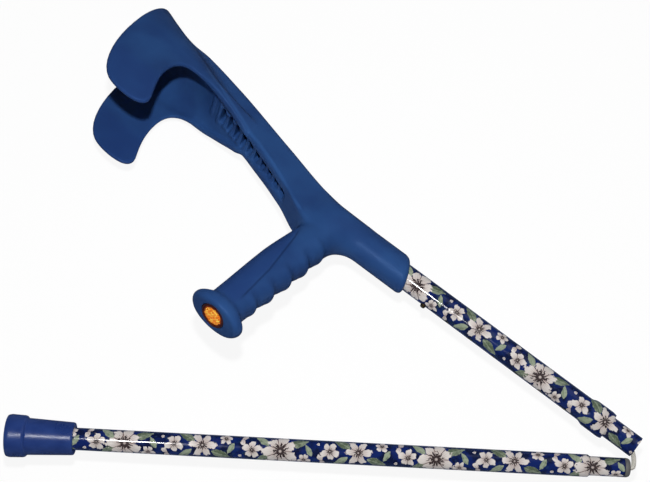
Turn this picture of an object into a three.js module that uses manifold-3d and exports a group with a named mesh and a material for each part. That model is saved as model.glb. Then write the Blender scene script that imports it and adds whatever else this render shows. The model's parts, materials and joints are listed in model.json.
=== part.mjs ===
// Forearm crutch with a folding two-piece shaft, drawn partly folded and lying on its side.
// Millimetres. +X runs up the shaft towards the cuff, +Y is the side the leg folds to, +Z is up.
// The pieces are drawn from the point where the grip's axis meets the upper tube's axis; the
// finished crutch is then moved so that the origin is the bottom centre of its bounding box.
import * as THREE from "three";
import { mergeVertices } from "three/addons/utils/BufferGeometryUtils.js";
import Module from "manifold-3d";

const wasm = await Module();
wasm.setup();

// ---------------------------------------------------------------- driving dimensions
const GAP = 0.3; // clearance between neighbouring pieces
const ROUND = 40; // facets round a tube
const ROUND_SMALL = 24; // facets round a small piece

const ROLL = THREE.MathUtils.degToRad(25); // the grip points this far up out of the folding plane

const UPPER_OD = 22; // upper tube, standard crutch size
const UPPER_WALL = 1.2;
const UPPER_TOP = 6; // blind end of the tube inside the handle
const BELL_OD = 25.4; // widened lower end that holds the bush
const BELL_WALL = 1.2;
const BELL_START = -280.5;
const UPPER_END = -302;

const INNER_OD = 19; // height-adjusting tube and leg tube
const INNER_ID = 16.8;
const INNER_TOP = -98;
const INNER_END = -330.7; // socket mouth

const HOLE_PITCH = 25;
const HOLE_COUNT = 7;
const BUTTON_X = -112.5; // snap button at the shortest setting
const BUTTON_R = 2.5;
const BUTTON_TIP = 13.6; // distance of its domed tip from the tube axis
const BUTTON_FOOT = 5.3;

const FOLD_ANGLE = THREE.MathUtils.degToRad(35); // between the two tubes as drawn
const PIVOT_Y = 9.7; // the leg rolls over the rim of the socket here
const PIVOT_X = INNER_END - GAP;

const LEG_LENGTH = 530.5; // pivot to the underside of the ferrule
const SPIGOT_OD = 16.2; // swaged end that plugs into the socket
const SPIGOT_ID = 13.4;
const SPIGOT_STEP = 34.7;
const NOSE_LENGTH = 4.9;
const FERRULE_TOP = 473;
const FERRULE_FLANGE = 514;
const LEG_TUBE_END = 520.7;

const CORD_R = 2;
const UPPER_PLUG_X = -160;
const LOWER_PLUG_L = 120;
const PLUG_LENGTH = 8;
const CRIMP_R = 5;
const CRIMP_LENGTH = 9;
const CORD_TAIL = 16; // the cord ends this far past the start of a plug

const SPRING_THICK = 0.6;
const SPRING_WIDTH = 8;
const SPRING_BEND = 22; // from the button to the bend of the U
const SPRING_LOW = -6.6; // where it braces on the far wall of the tube

const NECK_R = 16.2;
const NECK_SLOPE = 0.48; // the sleeve end is cut at a slant, longer on the grip side
const NECK_END = -84.6;
const GRIP_TILT = THREE.MathUtils.degToRad(5); // grip leans towards the cuff
const GRIP_OFFSET = -2;
const GRIP_END = 160;
const FLANGE_HIGH = 26.5; // half height and half width of the grip's oval end flange
const FLANGE_WIDE = 17.5;
const FLANGE_RIM = 5;
const FLANGE_LENGTH = 11;
const CUP_R = 12; // reflector's rim
const LENS_R = 9.9;
const RECESS_DEPTH = 5;
const FINGER_PITCH = 22.6; // finger bumps under the grip
const FINGER_FIRST = 49;
const FINGER_HIGH = 1.4;
const CUFF_TOP = 248;
const WALL = 4.5; // shell of the cuff
const RIB_PITCH = 10.1;
const RIB_COUNT = 9;
const RIB_FIRST = 56.3;
const RIB_THICK = 3.4;

// ---------------------------------------------------------------- materials
function plastic(color, roughness) {
  return new THREE.MeshStandardMaterial({ color, roughness, metalness: 0 });
}
function metal(color, roughness) {
  return new THREE.MeshStandardMaterial({ color, roughness, metalness: 1 });
}
const HANDLE_BLUE = 0x234878;
const TUBE_NAVY = 0x1c2560;

// ---------------------------------------------------------------- geometry helpers
// A closed solid for manifold-3d from any closed geometry.
function toSolid(geometry) {
  const bare = geometry.clone();
  bare.deleteAttribute("normal");
  bare.deleteAttribute("uv");
  const merged = mergeVertices(bare, 1e-5);
  const index = merged.index.array;
  const triVerts = [];
  for (let i = 0; i < index.length; i += 3) {
    const [a, b, c] = [index[i], index[i + 1], index[i + 2]];
    if (a !== b && b !== c && c !== a) triVerts.push(a, b, c);
  }
  return new wasm.Manifold(
    new wasm.Mesh({
      numProp: 3,
      vertProperties: new Float32Array(merged.attributes.position.array),
      triVerts: new Uint32Array(triVerts),
    }),
  );
}

function toGeometry(solid) {
  const mesh = solid.getMesh();
  const geometry = new THREE.BufferGeometry();
  geometry.setAttribute("position", new THREE.BufferAttribute(new Float32Array(mesh.vertProperties), 3));
  geometry.setIndex(new THREE.BufferAttribute(new Uint32Array(mesh.triVerts), 1));
  geometry.computeVertexNormals();
  return geometry;
}

// Body of revolution about the X axis from [x, radius] points; a tube's outline closes on itself.
function turned(points, segments = ROUND) {
  const profile = points.map(([x, r]) => new THREE.Vector2(r, x));
  const geometry = new THREE.LatheGeometry(profile, segments);
  geometry.rotateZ(-Math.PI / 2);
  return outward(geometry);
}

function turnedTube(outer, inner, segments = ROUND) {
  const loop = [...outer, ...inner.slice().reverse()];
  return turned([...loop, loop[0]], segments);
}

// Flips a closed geometry whose faces point inwards.
function outward(geometry) {
  const flat = geometry.index ? geometry.toNonIndexed() : geometry;
  const p = flat.attributes.position;
  const [a, b, c] = [new THREE.Vector3(), new THREE.Vector3(), new THREE.Vector3()];
  let volume = 0;
  for (let i = 0; i < p.count; i += 3) {
    a.fromBufferAttribute(p, i);
    b.fromBufferAttribute(p, i + 1);
    c.fromBufferAttribute(p, i + 2);
    volume += a.dot(b.cross(c));
  }
  if (volume > 0) return geometry;
  const turnedOver = flat.clone();
  const q = turnedOver.attributes.position;
  for (let i = 0; i < q.count; i += 3) {
    b.fromBufferAttribute(q, i + 1);
    c.fromBufferAttribute(q, i + 2);
    q.setXYZ(i + 1, c.x, c.y, c.z);
    q.setXYZ(i + 2, b.x, b.y, b.z);
  }
  return turnedOver;
}

// Skin through rings of equally many points, closed by a flat cap at each end.
function loft(rings) {
  const count = rings[0].length;
  const position = rings.flat().flatMap((v) => [v.x, v.y, v.z]);
  const index = [];
  for (let r = 0; r + 1 < rings.length; r++) {
    for (let i = 0; i < count; i++) {
      const j = (i + 1) % count;
      const [a, b] = [r * count + i, r * count + j];
      index.push(a, b, a + count, b, b + count, a + count);
    }
  }
  const last = (rings.length - 1) * count;
  for (let i = 1; i + 1 < count; i++) {
    index.push(0, i + 1, i);
    index.push(last, last + i, last + i + 1);
  }
  const geometry = new THREE.BufferGeometry();
  geometry.setAttribute("position", new THREE.Float32BufferAttribute(position, 3));
  geometry.setIndex(index);
  return outward(geometry);
}

function cylinderAlongY(radius, y0, y1, x, segments = 20) {
  const geometry = new THREE.CylinderGeometry(radius, radius, y1 - y0, segments);
  geometry.translate(x, (y0 + y1) / 2, 0);
  return geometry;
}

function mix(a, b, t) {
  return a + (b - a) * t;
}
function ease(a, b, x) {
  return THREE.MathUtils.smoothstep(x, a, b);
}

function named(name, geometry, material) {
  const mesh = new THREE.Mesh(geometry, material);
  mesh.name = name;
  return mesh;
}

// ---------------------------------------------------------------- handle
// Handle frame: x up the shaft, y towards the front, z to the side; the group is rolled later.

// Back line of the stem and cuff, leaning back as it rises.
const BACK_LINE = new THREE.SplineCurve([
  new THREE.Vector2(-20, -11),
  new THREE.Vector2(12, -14),
  new THREE.Vector2(45, -21),
  new THREE.Vector2(72, -31),
  new THREE.Vector2(99, -40),
  new THREE.Vector2(147, -53),
  new THREE.Vector2(190, -63),
  new THREE.Vector2(225, -69.5),
  new THREE.Vector2(CUFF_TOP + 6, -77),
]);

function along(curve, x) {
  let [low, high] = [0, 1];
  for (let i = 0; i < 24; i++) {
    const middle = (low + high) / 2;
    if (curve.getPoint(middle).x < x) low = middle;
    else high = middle;
  }
  return curve.getPoint((low + high) / 2).y;
}

// Half width of the shell at height x and depth y: a stem that flares into the wings.
function shellHalfWidth(x, y) {
  const lip = 5 * ease(98, 140, x) * (1 - ease(150, 184, x));
  const back = 16 + 28 * ease(95, 235, x) + lip;
  const front = mix(16, 44.5, ease(110, 182, x));
  return mix(back, Math.max(back, front), ease(-22, 20, y));
}

// Half width of the slot between the stem's two lips, and of the hollow of the cuff.
function hollowHalfWidth(x, y) {
  const slot = mix(5, 10, ease(40, 130, x));
  return mix(slot, shellHalfWidth(x, y) - WALL, ease(140, 172, x));
}

// One cross-section of the shell: down one side, round the back and up the other side.
function shellRing(x, halfWidth, back, front) {
  const steps = 12;
  const open = ease(104, 185, x);
  const centre = mix(back + 9, -25, open);
  const power = mix(0.45, 1, open); // a squarish back for the stem, a rounder one for the cuff
  const points = [];
  const depths = [front, mix(front, 20, 0.5), 20, 5, -10, -24].filter((y) => y > centre);
  while (depths.length < 6) depths.push(mix(depths[depths.length - 1], centre, 0.5));
  for (const y of depths) points.push(new THREE.Vector3(x, y, halfWidth(x, y)));
  for (let i = 0; i <= steps; i++) {
    const angle = (Math.PI * i) / steps;
    const c = Math.cos(angle);
    const across = Math.sign(c) * Math.abs(c) ** power;
    const deep = Math.sin(angle) ** power;
    points.push(new THREE.Vector3(x, mix(centre, back, deep), across * halfWidth(x, centre)));
  }
  for (const y of depths.reverse()) points.push(new THREE.Vector3(x, y, -halfWidth(x, y)));
  return points;
}

function shell() {
  const stations = [];
  for (let x = -10; x <= CUFF_TOP + 10; x += 12) stations.push(x);
  const front = 75;
  const outer = loft(stations.map((x) => shellRing(x, shellHalfWidth, along(BACK_LINE, x), front)));
  const inside = stations.filter((x) => x > 42);
  inside.unshift(42);
  inside.push(CUFF_TOP + 12);
  const hollow = loft(
    inside.map((x) => shellRing(x, hollowHalfWidth, along(BACK_LINE, x) + WALL + 0.5, front + 10)),
  );
  const ribbing = ribs()
    .map(toSolid)
    .reduce((a, b) => a.add(b))
    .intersect(toSolid(outer));
  return toSolid(outer).subtract(toSolid(hollow)).add(ribbing);
}

// Side view of the stem, the cuff's top rim and the wing, used to trim the shell.
function sideOutline() {
  const shape = new THREE.Shape();
  shape.moveTo(-10, -40);
  shape.lineTo(60, -60);
  shape.lineTo(CUFF_TOP, -110);
  shape.lineTo(CUFF_TOP, -5);
  shape.bezierCurveTo(CUFF_TOP - 1, 18, 243, 40, 225, 49);
  shape.bezierCurveTo(213, 54, 200, 56, 191, 55);
  shape.bezierCurveTo(182, 54, 179, 49, 183, 42);
  shape.bezierCurveTo(189, 30, 195, 14, 195, -1);
  shape.bezierCurveTo(194, -15, 186, -21, 170, -21.5);
  shape.bezierCurveTo(140, -18.5, 122, -16, 100, -10);
  shape.bezierCurveTo(80, -2, 50, 8, 24, 20);
  shape.lineTo(-10, 24);
  shape.closePath();
  const slab = new THREE.ExtrudeGeometry(shape, { depth: 120, bevelEnabled: false, curveSegments: 8 });
  return slab.translate(0, 0, -60);
}

function ribs() {
  const parts = [];
  for (let i = 0; i < RIB_COUNT; i++) {
    const x = RIB_FIRST + i * RIB_PITCH;
    const back = along(BACK_LINE, x);
    const front = mix(0, -22, ease(50, 140, x));
    const halfWidth = hollowHalfWidth(x, front) + 1.5;
    const box = new THREE.BoxGeometry(RIB_THICK, front - back - 2, 2 * halfWidth);
    box.translate(x, (front + back + 2) / 2, 0);
    parts.push(box);
  }
  return parts;
}

// The grip in its own frame: x runs out along the grip, y up towards the cuff.
function grip() {
  const rings = [];
  for (let s = 2; s <= GRIP_END - 8; s += 7.2) {
    const top = 14 + 3.8 * ease(20, 80, s) - 1.6 * ease(75, 150, s);
    const wave = Math.cos(((s - FINGER_FIRST) / FINGER_PITCH) * 2 * Math.PI);
    const finger = FINGER_HIGH * wave * ease(30, 45, s) * (1 - ease(122, 134, s));
    const bottom = -20.5 + 1.5 * ease(60, 150, s) - finger;
    const side = 17.5 - 1.5 * ease(30, 80, s) - 0.5 * ease(90, 140, s);
    const ring = [];
    for (let i = 0; i < ROUND_SMALL; i++) {
      const angle = (2 * Math.PI * i) / ROUND_SMALL;
      const across = Math.sign(Math.cos(angle)) * Math.abs(Math.cos(angle)) ** 0.9;
      const up = Math.sign(Math.sin(angle)) * Math.abs(Math.sin(angle)) ** 0.9;
      const y = mix(bottom, top, (up + 1) / 2);
      ring.push(new THREE.Vector3(s, y, side * across));
    }
    rings.push(ring);
  }
  const start = GRIP_END - FLANGE_LENGTH;
  const profile = [[start - 5, 0], [start - 5, 13], [start, FLANGE_HIGH - 4.5]];
  for (let i = 0; i <= 6; i++) {
    const angle = Math.PI * (0.25 + 0.5 * (i / 6));
    const x = start + FLANGE_RIM - FLANGE_RIM * Math.cos(angle);
    profile.push([x, FLANGE_HIGH - FLANGE_RIM + FLANGE_RIM * Math.sin(angle)]);
  }
  profile.push([GRIP_END - 0.6, FLANGE_HIGH - 9], [GRIP_END, 14], [GRIP_END, 0]);
  const flange = turned(profile, ROUND_SMALL + 8).scale(1, 1, FLANGE_WIDE / FLANGE_HIGH);
  return toSolid(loft(rings)).add(toSolid(flange));
}

// Turns grip coordinates into handle coordinates: out along +Y, leaning towards +X.
const GRIP_TO_HANDLE = new THREE.Matrix4()
  .makeTranslation(GRIP_OFFSET, 0, 0)
  .multiply(new THREE.Matrix4().makeRotationZ(Math.PI / 2 - GRIP_TILT))
  .multiply(new THREE.Matrix4().makeRotationX(Math.PI));

function inHandle(solid) {
  return toSolid(toGeometry(solid).applyMatrix4(GRIP_TO_HANDLE));
}

function reflectorRecess() {
  const [bottom, top] = [GRIP_END - RECESS_DEPTH, GRIP_END + RECESS_DEPTH];
  const radius = CUP_R + GAP;
  return toSolid(turned([[bottom, 0], [bottom, radius], [top, radius], [top, 0]], 32));
}

function neck() {
  const sleeve = turned([[-105, 0], [-105, NECK_R], [17, NECK_R], [17, 0]], ROUND);
  const cutter = new THREE.BoxGeometry(80, 80, 80);
  cutter.translate(-40, 0, 0);
  cutter.rotateZ(Math.atan(NECK_SLOPE));
  cutter.translate(NECK_END, 0, 0);
  return toSolid(sleeve).subtract(toSolid(cutter));
}

// The web between the grip and the neck, and the one behind the top of the grip.
function rootWeb() {
  const shape = new THREE.Shape();
  shape.moveTo(-35, 2);
  shape.bezierCurveTo(-30, 13, -25, 18, -18, 34);
  shape.lineTo(15, 30);
  shape.lineTo(22, 16);
  shape.lineTo(24, -8);
  shape.lineTo(-20, -8);
  shape.closePath();
  const web = new THREE.ExtrudeGeometry(shape, {
    depth: 16,
    bevelThickness: 6,
    bevelSize: 3,
    bevelOffset: -3,
    bevelSegments: 3,
    curveSegments: 6,
  });
  return web.translate(0, 0, -8);
}

function handleBody() {
  const trimmed = shell().intersect(toSolid(outward(sideOutline())));
  const grown = trimmed.add(neck()).add(inHandle(grip())).add(toSolid(outward(rootWeb())));
  const boreRadius = UPPER_OD / 2 + GAP;
  const boreEnd = UPPER_TOP + GAP;
  const bore = turned([[-120, 0], [-120, boreRadius], [boreEnd, boreRadius], [boreEnd, 0]]);
  return toGeometry(grown.subtract(toSolid(bore)).subtract(inHandle(reflectorRecess())));
}

function reflectorCup() {
  const cup = turned([
    [GRIP_END - 4.7, 0],
    [GRIP_END - 4.7, CUP_R],
    [GRIP_END - 0.6, CUP_R],
    [GRIP_END - 0.6, LENS_R + GAP],
    [GRIP_END - 2.8, LENS_R + GAP],
    [GRIP_END - 2.8, 0],
  ], 32);
  return cup.applyMatrix4(GRIP_TO_HANDLE);
}

function reflectorLens() {
  const lens = turned([
    [GRIP_END - 2.5, 0],
    [GRIP_END - 2.5, LENS_R],
    [GRIP_END - 0.9, LENS_R],
    [GRIP_END - 0.4, LENS_R - 0.7],
    [GRIP_END - 0.1, 5],
    [GRIP_END, 0],
  ], 32);
  return lens.applyMatrix4(GRIP_TO_HANDLE);
}

// ---------------------------------------------------------------- upper tube
function upperTube() {
  const r = UPPER_OD / 2;
  const bell = BELL_OD / 2;
  const outer = [[UPPER_TOP, r], [BELL_START + 1.5, r], [BELL_START - 1, bell], [UPPER_END, bell]];
  const bore = r - UPPER_WALL;
  const seat = bell - BELL_WALL;
  const inner = [[UPPER_TOP, bore], [BELL_START, bore], [BELL_START - 1.5, seat], [UPPER_END, seat]];
  let solid = toSolid(turnedTube(outer, inner));
  for (let i = 0; i < HOLE_COUNT; i++) {
    const drill = cylinderAlongY(BUTTON_R + GAP, 2, 20, BUTTON_X - i * HOLE_PITCH);
    solid = solid.subtract(toSolid(drill));
  }
  return toGeometry(solid);
}

function antiRattleBush() {
  const outer = BELL_OD / 2 - BELL_WALL - GAP;
  const inner = INNER_OD / 2 + GAP;
  const [start, end] = [BELL_START - 2, UPPER_END + GAP];
  const bore = [[start, inner], [end + 1, inner], [end, inner + 0.8]];
  return turnedTube([[start, outer], [end, outer]], bore);
}

// ---------------------------------------------------------------- height-adjusting tube
function innerTube() {
  const r = INNER_OD / 2;
  const bore = INNER_ID / 2;
  const outer = [[INNER_TOP, r - 0.5], [INNER_TOP - 0.8, r], [INNER_END + 0.6, r], [INNER_END, r - 0.4]];
  const inner = [[INNER_TOP, bore], [INNER_END + 0.8, bore], [INNER_END, bore + 0.4]];
  const drill = cylinderAlongY(BUTTON_R + GAP, 2, 20, BUTTON_X);
  return toGeometry(toSolid(turnedTube(outer, inner)).subtract(toSolid(drill)));
}

function snapButton() {
  const [flangeRadius, flangeTop, dome, domeSteps] = [3.6, BUTTON_FOOT + 1.1, 1.6, 5];
  const profile = [[BUTTON_FOOT, 0], [BUTTON_FOOT, flangeRadius], [flangeTop, flangeRadius]];
  profile.push([flangeTop, BUTTON_R], [BUTTON_TIP - dome, BUTTON_R]);
  for (let i = 1; i < domeSteps; i++) {
    const angle = (Math.PI / 2) * (i / domeSteps);
    profile.push([BUTTON_TIP - dome + dome * Math.sin(angle), BUTTON_R * Math.cos(angle)]);
  }
  profile.push([BUTTON_TIP, 0]);
  const button = turned(profile, ROUND_SMALL);
  return button.rotateZ(Math.PI / 2).translate(BUTTON_X, 0, 0);
}

// A strip of spring steel bent into a U that pushes the button out and braces on the far wall.
function snapSpring() {
  const [top, bottom] = [BUTTON_FOOT - GAP, SPRING_LOW];
  const bendX = BUTTON_X - SPRING_BEND;
  const tipX = BUTTON_X + 4.5;
  const outer = (top - bottom) / 2;
  const centre = (top + bottom) / 2;
  const shape = new THREE.Shape();
  shape.moveTo(tipX, top);
  shape.lineTo(bendX, top);
  shape.absarc(bendX, centre, outer, Math.PI / 2, 1.5 * Math.PI, false);
  shape.lineTo(tipX, bottom);
  shape.lineTo(tipX, bottom + SPRING_THICK);
  shape.lineTo(bendX, bottom + SPRING_THICK);
  shape.absarc(bendX, centre, outer - SPRING_THICK, 1.5 * Math.PI, Math.PI / 2, true);
  shape.lineTo(tipX, top - SPRING_THICK);
  shape.closePath();
  const strip = new THREE.ExtrudeGeometry(shape, {
    depth: SPRING_WIDTH,
    bevelEnabled: false,
    curveSegments: 10,
  });
  return outward(strip.translate(0, 0, -SPRING_WIDTH / 2));
}

// ---------------------------------------------------------------- shock cord and its stops
// A collar that sits in a bore and lets the cord through; the crimp on the cord pulls against it.
function cordPlug(start, boreRadius) {
  const [outer, hole, end] = [boreRadius - GAP, CORD_R + GAP, start + PLUG_LENGTH];
  return turnedTube([[start, outer], [end, outer]], [[start, hole], [end, hole]], ROUND_SMALL);
}

function cordCrimp(start) {
  const [outer, hole, end] = [CRIMP_R, CORD_R + GAP, start + CRIMP_LENGTH];
  return turnedTube([[start, outer], [end, outer]], [[start, hole], [end, hole]], ROUND_SMALL);
}

function cordLength(from, to) {
  return turned([[from, 0], [from, CORD_R], [to, CORD_R], [to, 0]], 16);
}

// ---------------------------------------------------------------- leg, drawn along its own X axis
function legTube() {
  const r = INNER_OD / 2;
  const spigot = SPIGOT_OD / 2;
  const bore = INNER_ID / 2 - 0.1;
  const small = SPIGOT_ID / 2;
  const start = NOSE_LENGTH + GAP;
  const end = LEG_TUBE_END;
  const outer = [[start, spigot], [SPIGOT_STEP, spigot], [SPIGOT_STEP + 1.2, r], [end, r]];
  const inner = [[start, small], [SPIGOT_STEP + 1, small], [SPIGOT_STEP + 3, bore], [end, bore]];
  return turnedTube(outer, inner);
}

function spigotPlug() {
  const r = SPIGOT_OD / 2;
  const shank = SPIGOT_ID / 2 - GAP;
  const hole = CORD_R + GAP + 0.4;
  const shankEnd = 22;
  const outer = [
    [GAP, r - 2.6],
    [GAP + 0.5, r - 1.3],
    [GAP + 1.6, r - 0.4],
    [GAP + 3, r],
    [NOSE_LENGTH, r],
    [NOSE_LENGTH, shank],
    [shankEnd, shank],
  ];
  return turnedTube(outer, [[GAP, hole + 0.8], [GAP + 1, hole], [shankEnd, hole]]);
}

function ferrule() {
  const bore = INNER_OD / 2 + GAP;
  const floor = LEG_TUBE_END + 2.1;
  const end = LEG_LENGTH;
  const outer = [
    [floor, 0],
    [floor, bore],
    [FERRULE_TOP, bore],
    [FERRULE_TOP, 13.2],
    [FERRULE_TOP + 0.8, 13.95],
    [FERRULE_FLANGE - 1.2, 15.8],
    [FERRULE_FLANGE, 16.6],
    [FERRULE_FLANGE + 0.6, 17.4],
    [FERRULE_FLANGE + 1.8, 17.85],
    [end - 3, 18.4],
    [end - 1, 17.9],
    [end, 16.8],
    [end, 0],
  ];
  return turned(outer);
}

function ferruleWasher() {
  const start = LEG_TUBE_END + GAP;
  const end = start + 1.5;
  return turned([[start, 0], [start, INNER_OD / 2], [end, INNER_OD / 2], [end, 0]]);
}

// ---------------------------------------------------------------- assembly
const handlePlastic = plastic(HANDLE_BLUE, 0.45);
const printedTube = plastic(TUBE_NAVY, 0.2);
const darkPlastic = plastic(0x26282c, 0.6);
const cordSleeve = plastic(0xe6e3da, 0.9);
const crimpMetal = metal(0xa7a9ab, 0.4);
const steel = metal(0x8c8f92, 0.4);

const crutch = new THREE.Group();

const handle = new THREE.Group();
handle.rotation.x = ROLL;
handle.add(named("handle_body", handleBody(), handlePlastic));
handle.add(named("reflector_cup", reflectorCup(), plastic(0x3a1c12, 0.5)));
handle.add(named("reflector_lens", reflectorLens(), plastic(0xf5a332, 0.15)));
crutch.add(handle);

const upperCordEnd = UPPER_PLUG_X + CORD_TAIL;
const upperCrimpStart = UPPER_PLUG_X + PLUG_LENGTH + GAP;
crutch.add(named("upper_tube", upperTube(), printedTube));
crutch.add(named("anti_rattle_bush", antiRattleBush(), darkPlastic));
crutch.add(named("inner_tube", innerTube(), printedTube));
crutch.add(named("snap_button", snapButton(), metal(0xb08d57, 0.3)));
crutch.add(named("snap_spring", snapSpring(), steel));
crutch.add(named("upper_cord_plug", cordPlug(UPPER_PLUG_X, INNER_ID / 2), darkPlastic));
crutch.add(named("upper_cord_crimp", cordCrimp(upperCrimpStart), crimpMetal));
crutch.add(named("shock_cord_upper", cordLength(INNER_END + 1, upperCordEnd), cordSleeve));

const legAxis = new THREE.Group();
legAxis.position.y = PIVOT_Y;
const lowerCordEnd = LOWER_PLUG_L + CORD_TAIL;
const lowerCrimpStart = LOWER_PLUG_L + PLUG_LENGTH + GAP;
const legBore = INNER_ID / 2 - 0.1;
legAxis.add(named("shock_cord_lower", cordLength(GAP + 1, lowerCordEnd), cordSleeve));
legAxis.add(named("lower_cord_plug", cordPlug(LOWER_PLUG_L, legBore), darkPlastic));
legAxis.add(named("lower_cord_crimp", cordCrimp(lowerCrimpStart), crimpMetal));
legAxis.add(named("leg_tube", legTube(), printedTube));
legAxis.add(named("spigot_plug", spigotPlug(), plastic(0x6e6e6e, 0.55)));
legAxis.add(named("ferrule", ferrule(), plastic(0x243e7d, 0.7)));
legAxis.add(named("ferrule_washer", ferruleWasher(), steel));

const leg = new THREE.Group();
leg.position.set(PIVOT_X, PIVOT_Y, 0);
leg.rotation.z = FOLD_ANGLE;
leg.add(legAxis);
crutch.add(leg);

const bounds = new THREE.Box3().setFromObject(crutch, true);
const middle = bounds.getCenter(new THREE.Vector3());
crutch.position.set(-middle.x, -middle.y, -bounds.min.z);

export default crutch;
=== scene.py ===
"""Looks of a folding forearm crutch, built round its CAD frame."""

import itertools
import json
import math

import bpy
import numpy as np
import openvdb
from mathutils import Matrix, Vector


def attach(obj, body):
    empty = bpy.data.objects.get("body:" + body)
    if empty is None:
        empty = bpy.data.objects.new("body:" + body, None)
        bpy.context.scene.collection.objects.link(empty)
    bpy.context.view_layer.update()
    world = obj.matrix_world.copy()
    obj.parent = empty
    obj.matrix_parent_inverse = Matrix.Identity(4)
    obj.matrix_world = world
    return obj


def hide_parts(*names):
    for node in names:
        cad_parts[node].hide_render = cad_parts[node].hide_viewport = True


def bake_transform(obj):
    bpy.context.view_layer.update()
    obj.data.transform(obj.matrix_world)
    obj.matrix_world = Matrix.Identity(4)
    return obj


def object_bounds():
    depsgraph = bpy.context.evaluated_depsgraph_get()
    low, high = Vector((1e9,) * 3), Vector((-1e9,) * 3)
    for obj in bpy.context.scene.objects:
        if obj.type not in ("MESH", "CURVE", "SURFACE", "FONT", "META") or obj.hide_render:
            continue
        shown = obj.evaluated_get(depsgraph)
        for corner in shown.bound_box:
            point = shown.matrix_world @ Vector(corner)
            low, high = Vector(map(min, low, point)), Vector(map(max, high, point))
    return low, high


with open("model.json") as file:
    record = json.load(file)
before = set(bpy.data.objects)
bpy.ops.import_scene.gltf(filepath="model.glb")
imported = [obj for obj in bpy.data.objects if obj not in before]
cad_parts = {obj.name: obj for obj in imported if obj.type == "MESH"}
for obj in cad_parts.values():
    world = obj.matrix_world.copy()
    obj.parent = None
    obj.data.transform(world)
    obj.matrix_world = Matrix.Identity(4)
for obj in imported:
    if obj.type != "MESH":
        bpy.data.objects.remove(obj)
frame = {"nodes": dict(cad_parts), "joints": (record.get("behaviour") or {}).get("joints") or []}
cad_low, cad_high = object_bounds()
scene = bpy.context.scene

# ---------------------------------------------------------------- places and sizes (mm)
MM = 0.001
ROLL = math.radians(25)  # the grip stands this far out of the folding plane
FOLD = math.radians(35)  # between the two tubes at rest
PIVOT = Vector((-331.0, 9.7, 0.0))
LEG_OFFSET = 9.7
fold_joint = next(j for j in frame["joints"] if j["name"] == "fold")
ORIGIN = Vector(fold_joint["pos_m"]) - PIVOT * MM
SHAFT = Matrix.Translation(ORIGIN) @ Matrix.Scale(MM, 4)
HANDLE = SHAFT @ Matrix.Rotation(ROLL, 4, "X")
LEG = (
    SHAFT @ Matrix.Translation(PIVOT) @ Matrix.Rotation(FOLD, 4, "Z") @ Matrix.Translation((0, LEG_OFFSET, 0))
)
GRIP_TILT = math.radians(5)
GRIP_OFFSET = -2.0
GRIP_END = 160.0
# Grip frame: x out along the grip, the other two across it.
GRIP = (
    HANDLE
    @ Matrix.Translation((GRIP_OFFSET, 0, 0))
    @ Matrix.Rotation(math.pi / 2 - GRIP_TILT, 4, "Z")
    @ Matrix.Rotation(math.pi, 4, "X")
)
UPPER_R = 11.0
INNER_R = 9.5
BUTTON_AT = -112.5  # along the shaft
HOLE_PITCH = 25
HOLES = 7
HOLE_R = 2.8
VOXEL = 0.9
AROUND = 128


# ---------------------------------------------------------------- node helpers
class Graph:
    """Short names for making and joining shader nodes in one tree."""

    def __init__(self, tree):
        self.tree = tree

    def node(self, kind, **settings):
        made = self.tree.nodes.new(kind)
        for key, value in settings.items():
            setattr(made, key, value)
        return made

    def put(self, socket, value):
        if isinstance(value, bpy.types.NodeSocket):
            self.tree.links.new(value, socket)
        elif value is not None:
            if isinstance(value, (tuple, list)) and len(value) == 3 and socket.type == "RGBA":
                value = (*value, 1.0)
            socket.default_value = value

    def math(self, operation, *values, clamp=False):
        made = self.node("ShaderNodeMath", operation=operation, use_clamp=clamp)
        for socket, value in zip(made.inputs, values):
            self.put(socket, value)
        return made.outputs[0]

    def vector(self, operation, a, b=None, scale=None):
        made = self.node("ShaderNodeVectorMath", operation=operation)
        self.put(made.inputs[0], a)
        self.put(made.inputs[1], b)
        if scale is not None:
            self.put(made.inputs["Scale"], scale)
        return made.outputs["Value" if operation == "LENGTH" else "Vector"]

    def xyz(self, vector):
        made = self.node("ShaderNodeSeparateXYZ")
        self.put(made.inputs[0], vector)
        return made.outputs

    def join(self, x, y, z=0.0):
        made = self.node("ShaderNodeCombineXYZ")
        for socket, value in zip(made.inputs, (x, y, z)):
            self.put(socket, value)
        return made.outputs[0]

    def step(self, value, low, high, to_low=0.0, to_high=1.0):
        made = self.node("ShaderNodeMapRange", interpolation_type="SMOOTHSTEP")
        for socket, v in zip(made.inputs, (value, low, high, to_low, to_high)):
            self.put(socket, v)
        return made.outputs[0]

    def mix(self, factor, a, b):
        made = self.node("ShaderNodeMix", data_type="RGBA")
        self.put(made.inputs[0], factor)
        self.put(made.inputs[6], a)
        self.put(made.inputs[7], b)
        return made.outputs[2]

    def noise(self, vector, scale, detail=2.0, roughness=0.5):
        made = self.node("ShaderNodeTexNoise")
        self.put(made.inputs["Vector"], vector)
        self.put(made.inputs["Scale"], scale)
        self.put(made.inputs["Detail"], detail)
        self.put(made.inputs["Roughness"], roughness)
        return made.outputs["Fac"]

    def attribute(self, name):
        return self.node("ShaderNodeAttribute", attribute_name=name)

    def local(self, matrix):
        """Position in millimetres in a piece's own frame, from its place at rest."""
        back = matrix.inverted()
        place, turn, size = back.decompose()
        made = self.node("ShaderNodeMapping", vector_type="POINT")
        self.put(made.inputs["Vector"], self.node("ShaderNodeTexCoord").outputs["Object"])
        made.inputs["Location"].default_value = place
        made.inputs["Rotation"].default_value = turn.to_euler("XYZ")
        made.inputs["Scale"].default_value = size
        return made.outputs[0]

    def bump(self, height, strength, distance):
        made = self.node("ShaderNodeBump")
        self.put(made.inputs["Height"], height)
        self.put(made.inputs["Strength"], strength)
        self.put(made.inputs["Distance"], distance)
        return made.outputs[0]


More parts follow.
